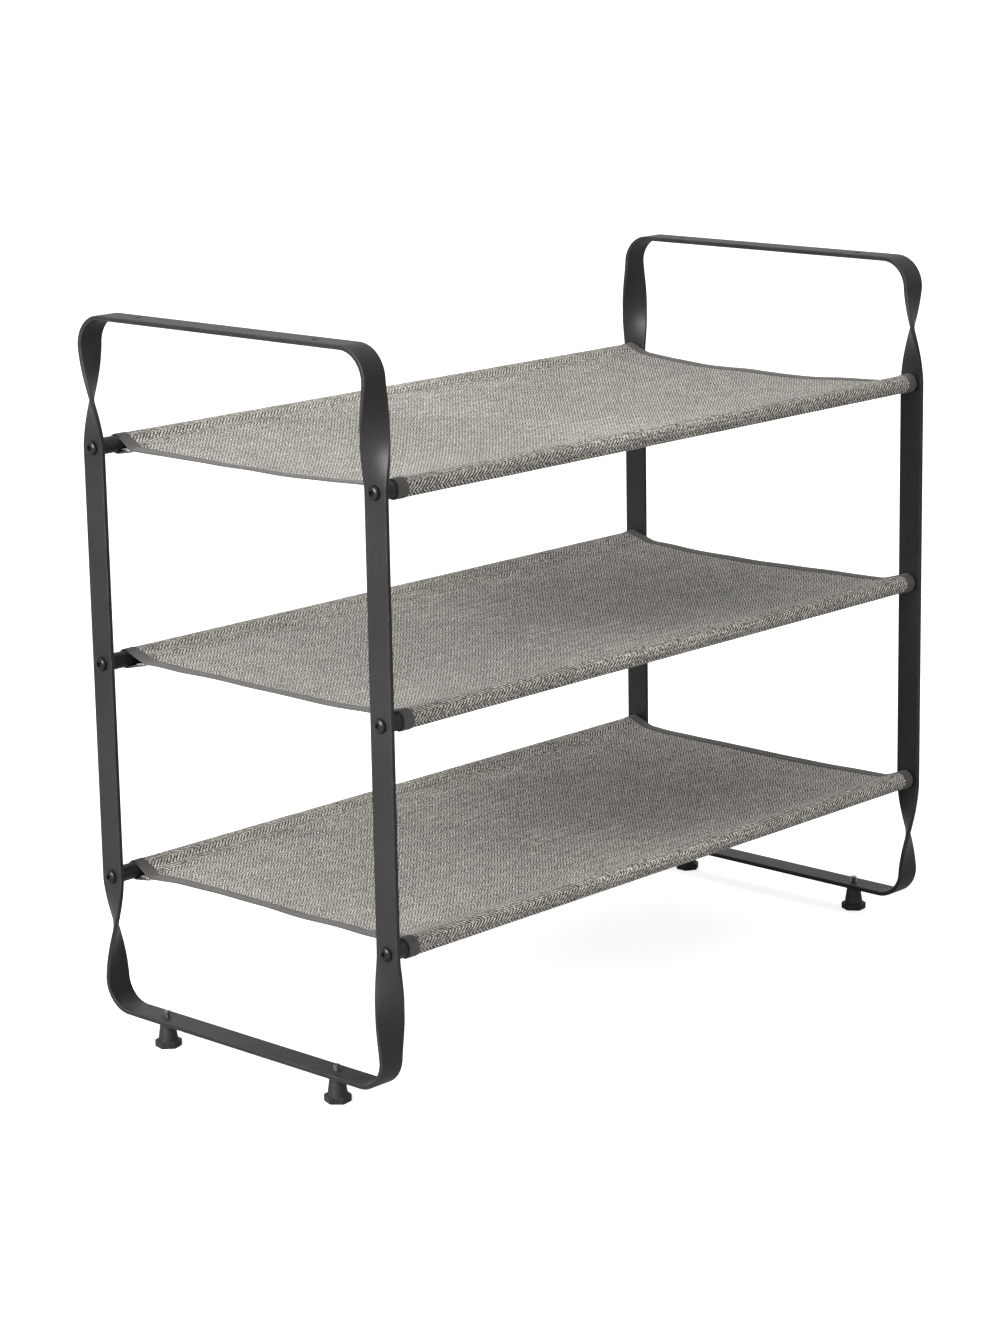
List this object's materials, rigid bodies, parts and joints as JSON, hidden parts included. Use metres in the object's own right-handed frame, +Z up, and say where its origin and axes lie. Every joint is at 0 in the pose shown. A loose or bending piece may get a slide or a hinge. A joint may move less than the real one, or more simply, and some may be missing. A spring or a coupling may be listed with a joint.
{
  "type": "tiered shoe rack",
  "caption": "Shoe rack with fabric sling shelves on tube rails between two twisted flat-bar side frames, on levelling feet.",
  "frame": {"origin": "on the floor, under the middle of the rack", "axes": "+X along the rails from the left side frame to the right one, -Y the front, +Z up"},
  "size_m": [0.7004, 0.3514, 0.616],
  "materials": {
    "powder_coat": "matt charcoal powder coat with a very fine texture",
    "rail_coat": "matt charcoal powder coat on steel tube",
    "black_screw": "black oxide, satin",
    "zinc_steel": "plain zinc plated",
    "stud_steel": "dark plated thread, satin",
    "glide_plastic": "moulded black plastic, matt",
    "grey_weave": "two-tone grey tweed, light and dark yarns in a fine herringbone",
    "grey_tape": "plain darker grey folded tape"
  },
  "bodies": {
    "rack": {"side_frame_left": "powder_coat", "side_frame_right": "powder_coat", "rail_bottom_front": "rail_coat", "rail_bottom_back": "rail_coat", "rail_middle_front": "rail_coat", "rail_middle_back": "rail_coat", "rail_top_front": "rail_coat", "rail_top_back": "rail_coat", "rail_screw_bottom_front_left": "black_screw", "rail_screw_bottom_front_right": "black_screw", "rail_screw_bottom_back_left": "black_screw", "rail_screw_bottom_back_right": "black_screw", "rail_screw_middle_front_left": "black_screw", "rail_screw_middle_front_right": "black_screw", "rail_screw_middle_back_left": "black_screw", "rail_screw_middle_back_right": "black_screw", "rail_screw_top_front_left": "black_screw", "rail_screw_top_front_right": "black_screw", "rail_screw_top_back_left": "black_screw", "rail_screw_top_back_right": "black_screw", "rail_insert_bottom_front_left": "zinc_steel", "rail_insert_bottom_front_right": "zinc_steel", "rail_insert_bottom_back_left": "zinc_steel", "rail_insert_bottom_back_right": "zinc_steel", "rail_insert_middle_front_left": "zinc_steel", "rail_insert_middle_front_right": "zinc_steel", "rail_insert_middle_back_left": "zinc_steel", "rail_insert_middle_back_right": "zinc_steel", "rail_insert_top_front_left": "zinc_steel", "rail_insert_top_front_right": "zinc_steel", "rail_insert_top_back_left": "zinc_steel", "rail_insert_top_back_right": "zinc_steel", "shelf_fabric_bottom": "grey_weave", "shelf_fabric_middle": "grey_weave", "shelf_fabric_top": "grey_weave", "edge_binding_bottom_left": "grey_tape", "edge_binding_bottom_right": "grey_tape", "edge_binding_middle_left": "grey_tape", "edge_binding_middle_right": "grey_tape", "edge_binding_top_left": "grey_tape", "edge_binding_top_right": "grey_tape"},
    "stud_left_front": {"foot_stud_left_front": "stud_steel"},
    "glide_left_front": {"foot_glide_left_front": "glide_plastic"},
    "stud_left_back": {"foot_stud_left_back": "stud_steel"},
    "glide_left_back": {"foot_glide_left_back": "glide_plastic"},
    "stud_right_front": {"foot_stud_right_front": "stud_steel"},
    "glide_right_front": {"foot_glide_right_front": "glide_plastic"},
    "stud_right_back": {"foot_stud_right_back": "stud_steel"},
    "glide_right_back": {"foot_glide_right_back": "glide_plastic"}
  },
  "joints": [
    {"name": "foot_left_front_reach", "type": "slide", "parent": "rack", "child": "stud_left_front", "axis": [0, 0, -1], "range_m": [0, 0.005]},
    {"name": "foot_left_front_turn", "type": "hinge", "parent": "stud_left_front", "child": "glide_left_front", "pos_m": [-0.3385, -0.102, 0], "axis": [0, 0, -1], "range_deg": [0, 1800]},
    {"name": "foot_left_back_reach", "type": "slide", "parent": "rack", "child": "stud_left_back", "axis": [0, 0, -1], "range_m": [0, 0.005]},
    {"name": "foot_left_back_turn", "type": "hinge", "parent": "stud_left_back", "child": "glide_left_back", "pos_m": [-0.3385, 0.102, 0], "axis": [0, 0, -1], "range_deg": [0, 1800]},
    {"name": "foot_right_front_reach", "type": "slide", "parent": "rack", "child": "stud_right_front", "axis": [0, 0, -1], "range_m": [0, 0.005]},
    {"name": "foot_right_front_turn", "type": "hinge", "parent": "stud_right_front", "child": "glide_right_front", "pos_m": [0.3385, -0.102, 0], "axis": [0, 0, -1], "range_deg": [0, 1800]},
    {"name": "foot_right_back_reach", "type": "slide", "parent": "rack", "child": "stud_right_back", "axis": [0, 0, -1], "range_m": [0, 0.005]},
    {"name": "foot_right_back_turn", "type": "hinge", "parent": "stud_right_back", "child": "glide_right_back", "pos_m": [0.3385, 0.102, 0], "axis": [0, 0, -1], "range_deg": [0, 1800]}
  ],
  "couplings": [
    {"joint": "foot_left_front_reach", "follows": "foot_left_front_turn", "m_per_rad": 0.00015915},
    {"joint": "foot_left_back_reach", "follows": "foot_left_back_turn", "m_per_rad": 0.00015915},
    {"joint": "foot_right_front_reach", "follows": "foot_right_front_turn", "m_per_rad": 0.00015915},
    {"joint": "foot_right_back_reach", "follows": "foot_right_back_turn", "m_per_rad": 0.00015915}
  ]
}
